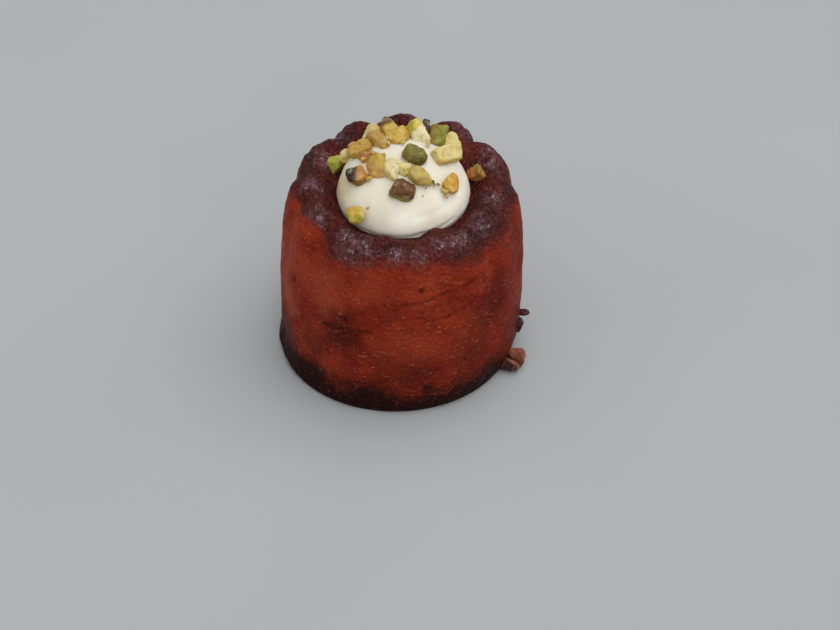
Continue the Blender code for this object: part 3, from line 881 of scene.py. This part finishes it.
def top_colour(maker, noises, gloss_and_sheen, pore, gloss_and_glint_spark):
    """Dark to brown, with a painted pale sheen where it is glossy, pores painted black as shade,
    and painted bright glints.
    """
    brown = maker.ease(noises["drift"] + noises["grain"] * 0.7, -0.8, 0.9)
    return layered(maker, maker.mix(brown, TOP_DARK, TOP_BROWN), (
        (gloss_and_sheen * 0.8, TOP_PAINTED_SHEEN),
        (maker.ease(noises["fine"], 0.0, -0.9) * 0.5, TOP_DARK),
        ((1.0 - pore) * (0.15 + 0.85 * gloss_and_sheen), TOP_PORE_SHADE),
        (gloss_and_glint_spark * 0.72, TOP_PAINTED_GLINT),
    ))


def crust_finish():
    """Caramelised crust: near black at the foot, red-brown up the side, dark and pored on top."""
    made, maker, shader, spot = new_material("caramelised_crust")
    height = maker.named("height")
    noises = noises_of(maker, spot, CRUST_NOISES)
    drift, grain, fine = noises["drift"], noises["grain"], noises["fine"]
    streak, gloss_and_glint, wet_and_glint_fleck = side_sparks(maker, spot, noises)
    gloss_and_sheen, pore, gloss_and_glint_spark = top_sparks(maker, spot, noises)
    level = height + drift * 1.6 + grain * 1.4 + fine * 0.5 - patches(maker, spot, GLOWS)
    on_top = maker.ease(level, *DARK_TOP_HEIGHTS)
    side = side_colour(maker, spot, noises, streak, gloss_and_glint, wet_and_glint_fleck)
    top = top_colour(maker, noises, gloss_and_sheen, pore, gloss_and_glint_spark)
    coarse = noises["coarse"] * (0.12 + 0.12 * on_top)
    bubbles = maker.ease(maker.cells(spot, 1.0), 0.0, 0.6) * (-0.06 - 0.16 * on_top)
    pores = pore * (0.02 + 0.14 * gloss_and_sheen)
    dry = 0.01 * maker.ease(height, 4.0, 20.0)
    wet = (dry + maker.math("MAXIMUM", gloss_and_glint * 0.3, wet_and_glint_fleck)) * (1.0 - on_top)
    wire(maker, shader, {
        "Base Color": maker.mix(on_top, side, top),
        "Roughness": 0.5 + 0.1 * drift + 0.08 * grain,
        "Specular IOR Level": 0.04,
        "Coat Weight": wet + on_top * (0.1 + 0.9 * gloss_and_glint_spark + 0.25 * gloss_and_sheen),
        "Coat Roughness": 0.12,
        "Coat Normal": bumped(maker, coarse + bubbles),
        "Normal": bumped(maker, noises["skin"] * 0.05 + coarse + bubbles + pores),
    })
    return made


def cream_finish():
    """Whipped cream: satin ivory, soft where light goes into it."""
    made, maker, shader, spot = new_material("whipped_cream")
    cloud = maker.ease(maker.noise(spot, 0.16, 2.0), -0.6, 0.8)
    rough = maker.noise(spot, 0.5, 2.0)
    # Painted light and shade: a paler patch at the lower front, a darker, warmer one on the left.
    painted_light_and_shade = [(patches(maker, spot, places, rough), painted_tone) for painted_tone, places in CREAM_PAINTED_LIGHT]
    tiny = maker.noise(spot, 1.4, 3.0, 0.6) * 0.012
    wire(maker, shader, {
        "Base Color": layered(maker, maker.mix(cloud, CREAM_DEEP, CREAM_PALE), painted_light_and_shade),
        "Roughness": 0.45 + 0.05 * maker.noise(spot, 0.5),
        "Specular IOR Level": 0.3,
        "Subsurface Weight": 0.35,
        "Subsurface Radius": (1.0, 0.8, 0.6),
        "Subsurface Scale": 0.002,
        "Normal": bumped(maker, tiny),
    })
    return made


def pistachio_finish(name, palest, fibre_height, oil):
    """Pistachio or crust: pale broken faces with darker rims, mottled, glossy with oil."""
    made, maker, shader, spot = new_material(name)
    flesh = maker.field("ShaderNodeAttribute", "Color", attribute_name="flesh")
    skin = maker.field("ShaderNodeAttribute", "Color", attribute_name="skin")
    cut = maker.named("cut")
    mottle = maker.noise(spot, 0.7, 3.0, 0.6)
    fibre = maker.noise(spot, 2.0, 3.0, 0.65)
    tone = mottle + fibre * 0.5
    rim = maker.bell((cut + fibre * 0.1 - 0.4) / 0.3)
    colour = layered(maker, flesh, (
        (maker.ease(maker.named("rind") + mottle * 0.22, -0.1, 0.12), skin),
        ((1.0 - maker.ease(cut + mottle * 0.2, 0.1, 0.7)) * 0.5, skin),
    ))
    pale = maker.mix(0.45, colour, palest)
    deep = maker.times(colour, DEEPENING)
    colour = layered(maker, colour, (
        (maker.ease(tone, 0.0, 0.8) * 0.8, pale),
        (maker.ease(tone, 0.0, -0.8) * 0.7, deep),
        (rim * 0.35, deep),
    ))
    normal = bumped(maker, fibre * fibre_height + mottle * 0.06)
    wire(maker, shader, {
        "Base Color": colour,
        "Roughness": 0.4 + 0.1 * mottle,
        "Specular IOR Level": 0.2,
        "Coat Weight": oil * (1.0 + mottle),
        "Coat Roughness": 0.12,
        "Coat Normal": normal,
        "Subsurface Weight": 0.15,
        "Subsurface Radius": (1.0, 0.7, 0.25),
        "Subsurface Scale": 0.0012,
        "Normal": normal,
    })
    return made


def flat_faces(kind, random):
    """The broken faces of a piece, each a unit normal and how far out it lies."""
    faces = [(Vector(cut[:3]).normalized(), cut[3]) for cut in CUTS.get(kind, ())]
    if kind == "chunk":
        for _ in range(CHUNK_CUTS):
            face = Vector(random.normal(size=3)).normalized()
            faces.append((face, random.uniform(*CHUNK_REACH)))
    for _ in range(CHIPS):
        chip = Vector(random.normal(size=3)).normalized()
        faces.append((chip, random.uniform(*CHIP_REACH)))
    return faces


def add_kernel(mesh, layers, piece, coat, seed, divisions):
    """Adds one broken piece: a squarish ball with its faces pressed flat, brought to size.

    Each vertex keeps the colours of its flesh and skin, how far it lies into the rind, and
    how deep it was cut."""
    kind, centre, size, turn = piece
    flesh, skin, side, start = coat
    ball = bmesh.new()
    bmesh.ops.create_icosphere(ball, subdivisions=divisions, radius=1.0)
    points = np.array([vertex.co for vertex in ball.verts])
    square = SQUARENESS[kind]
    points /= (np.abs(points) ** square).sum(1, keepdims=True) ** (1.0 / square)
    pressed = np.zeros(len(points))
    for normal, distance in flat_faces(kind, np.random.default_rng(seed)):
        beyond = points @ np.array(normal) - distance
        press = NUT_EDGE * np.logaddexp(0.0, beyond / NUT_EDGE)
        points -= press[:, None] * np.array(normal)
        pressed += press
    low, high = points.min(0), points.max(0)
    points = ((points - low) / (high - low) - 0.5) * LUMP_ROOM * np.array(size)
    turning = Euler([math.radians(angle) for angle in turn]).to_matrix()
    side = Vector(side).normalized()
    added = []
    for spot, cut in zip(points, np.minimum(pressed / CUT_DEPTH, 1.0)):
        spot = Vector(spot)
        seeded = spot * LUMP_SCALE + Vector((SEED_APART * seed, 0.0, 0.0))
        lump = sum(high * noise.noise(seeded * finer) for finer, high in NUT_LUMPS)
        swollen = turning @ (spot * (1.0 + lump / max(spot.length, 0.5)))
        swollen.z = max(swollen.z, -centre[2])
        vertex = mesh.verts.new((swollen + Vector(centre)) * MM)
        vertex[layers["flesh"]] = (*TONES[flesh], 1.0)
        vertex[layers["skin"]] = (*TONES[skin], 1.0)
        vertex[layers["rind"]] = swollen.dot(side) / (0.5 * max(size)) - start
        vertex[layers["cut"]] = cut
        added.append(vertex)
    for face in ball.faces:
        mesh.faces.new([added[vertex.index] for vertex in face.verts]).smooth = True
    ball.free()


def kernels(name, pieces, coats, first_seed, divisions, finish):
    """One mesh that holds all the chopped pieces of a kind."""
    mesh = bmesh.new()
    layers = {
        "flesh": mesh.verts.layers.float_color.new("flesh"),
        "skin": mesh.verts.layers.float_color.new("skin"),
        "rind": mesh.verts.layers.float.new("rind"),
        "cut": mesh.verts.layers.float.new("cut"),
    }
    for i, (piece, coat) in enumerate(zip(pieces, coats)):
        add_kernel(mesh, layers, piece, coat, first_seed + i, divisions)
    data = bpy.data.meshes.new(name)
    mesh.to_mesh(data)
    mesh.free()
    data.materials.append(finish)
    obj = bpy.data.objects.new(name, data)
    bpy.context.scene.collection.objects.link(obj)
    return obj


def small_bits(finish):
    """The small bits of pistachio that broke off the chopped pieces."""
    random = np.random.default_rng(BIT_TURN_SEED)
    pieces, coats = [], []
    for place, size, tone in BITS:
        turn = (*random.uniform(-40.0, 40.0, 2), random.uniform(0.0, 180.0))
        pieces.append(("chunk", place, size, turn))
        coats.append((tone, tone, (0.0, 0.0, 1.0), 0.0))
    return kernels("pistachio_bits", pieces, coats, BIT_SEED, BIT_DIVISIONS, finish)


def make_camera():
    """The view from the front, about 39 degrees above the table."""
    data = bpy.data.cameras.new("camera")
    data.sensor_width = SENSOR
    data.lens = LENS
    camera = bpy.data.objects.new("camera", data)
    camera.location = CAMERA_PLACE
    camera.rotation_euler = (math.radians(90.0 - CAMERA_DOWN), 0.0, math.radians(CAMERA_TURN))
    bpy.context.scene.collection.objects.link(camera)
    bpy.context.scene.camera = camera


def soft_sun(name, place, energy, spread, colour):
    """A far and wide soft light that shines from the side where its place is."""
    data = bpy.data.lights.new(name, "SUN")
    data.energy = energy
    data.angle = math.radians(spread)
    data.color = colour
    lamp = bpy.data.objects.new(name, data)
    lamp.rotation_euler = Vector(place).to_track_quat("Z", "Y").to_euler()
    bpy.context.scene.collection.objects.link(lamp)


def make_studio():
    """A plain bright sky and the soft lights."""
    world = bpy.data.worlds.new("studio")
    world.use_nodes = True
    back = world.node_tree.nodes["Background"]
    back.inputs["Color"].default_value = SKY
    back.inputs["Strength"].default_value = SKY_STRENGTH
    bpy.context.scene.world = world
    for name, light in LIGHTS.items():
        soft_sun(name, *light)
    bpy.context.scene.view_settings.view_transform = "Standard"


def make_floor():
    """The pale table top that the cake stands on."""
    mesh = bmesh.new()
    bmesh.ops.create_grid(mesh, x_segments=1, y_segments=1, size=FLOOR_REACH)
    data = bpy.data.meshes.new("floor")
    mesh.to_mesh(data)
    mesh.free()
    floor = bpy.data.objects.new("floor", data)
    made, maker, shader, spot = new_material("floor_paint")
    cloud = maker.ease(maker.noise(spot, 0.01, 2.0), -0.8, 0.8)
    wire(maker, shader, {
        "Base Color": maker.mix(cloud, FLOOR_DEEP, FLOOR_PALE),
        "Roughness": 0.7,
        "Specular IOR Level": 0.2,
    })
    data.materials.append(made)
    bpy.context.scene.collection.objects.link(floor)


def make_cake(finish):
    """The fluted cake, grown from its line."""
    sizes = {
        "Steps Round": CAKE_STEPS, "Flutes": FLUTES, "Crest Radius": CREST_RADIUS,
        "Dish Radius": DISH_RADIUS, "Groove at Base": GROOVE_AT_BASE,
        "Groove at Shoulder": GROOVE_AT_SHOULDER, "Groove Width": GROOVE_WIDTH,
        "Lobe Lift": LOBE_LIFT, "Lean": TOP_SHIFT, "Top Slope": TOP_SLOPE,
        "Blisters": BLISTERS, "Blister Height": BLISTER_HEIGHT, "Pores": PORES,
        "Pore Depth": PORE_DEPTH, "Hole Depth": HOLE_DEPTH, "Crease Width": CREASE_WIDTH,
        "Crease Depth": CREASE_DEPTH,
    }
    line = line_mesh("cake_line", cake_line())
    return grown("crust", line, cake_tree(sizes), sizes, finish)


def make_cream(finish):
    """The mound of cream, grown from its line."""
    sizes = {
        "Steps Round": CREAM_STEPS, "Fold Depth": 1.0, "Lean": TOP_SHIFT,
        "Top Slope": TOP_SLOPE,
    }
    line = line_mesh("cream_line", cream_line())
    return grown("cream_mound", line, cream_tree(sizes), sizes, finish)


def dress(piece, node):
    """The piece rides on the cake's body, and the node that it stands for is hidden."""
    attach(piece, "root")
    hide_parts(node)


def main():
    make_camera()
    make_studio()
    make_floor()
    nut = pistachio_finish("pistachio", NUT_PALEST, NUT_FIBRE, NUT_OIL)
    scrap = pistachio_finish("crust_scrap", SCRAP_PALEST, SCRAP_FIBRE, SCRAP_OIL)
    dress(make_cake(crust_finish()), "cake")
    dress(make_cream(cream_finish()), "cream")
    nuts = kernels(
        "pistachios_on_cream", CREAM_NUTS, CREAM_NUT_COATS, CREAM_NUT_SEED, NUT_DIVISIONS, nut
    )
    dress(nuts, "cream")
    dress(small_bits(nut), "cream")
    nuts = kernels(
        "pistachios_on_crust", CAKE_NUTS, CAKE_NUT_COATS, CAKE_NUT_SEED, NUT_DIVISIONS, nut
    )
    dress(nuts, "cake")
    scraps = kernels("crust_scraps", SCRAPS, SCRAP_COATS, SCRAP_SEED, NUT_DIVISIONS, scrap)
    dress(scraps, "cake")


main()
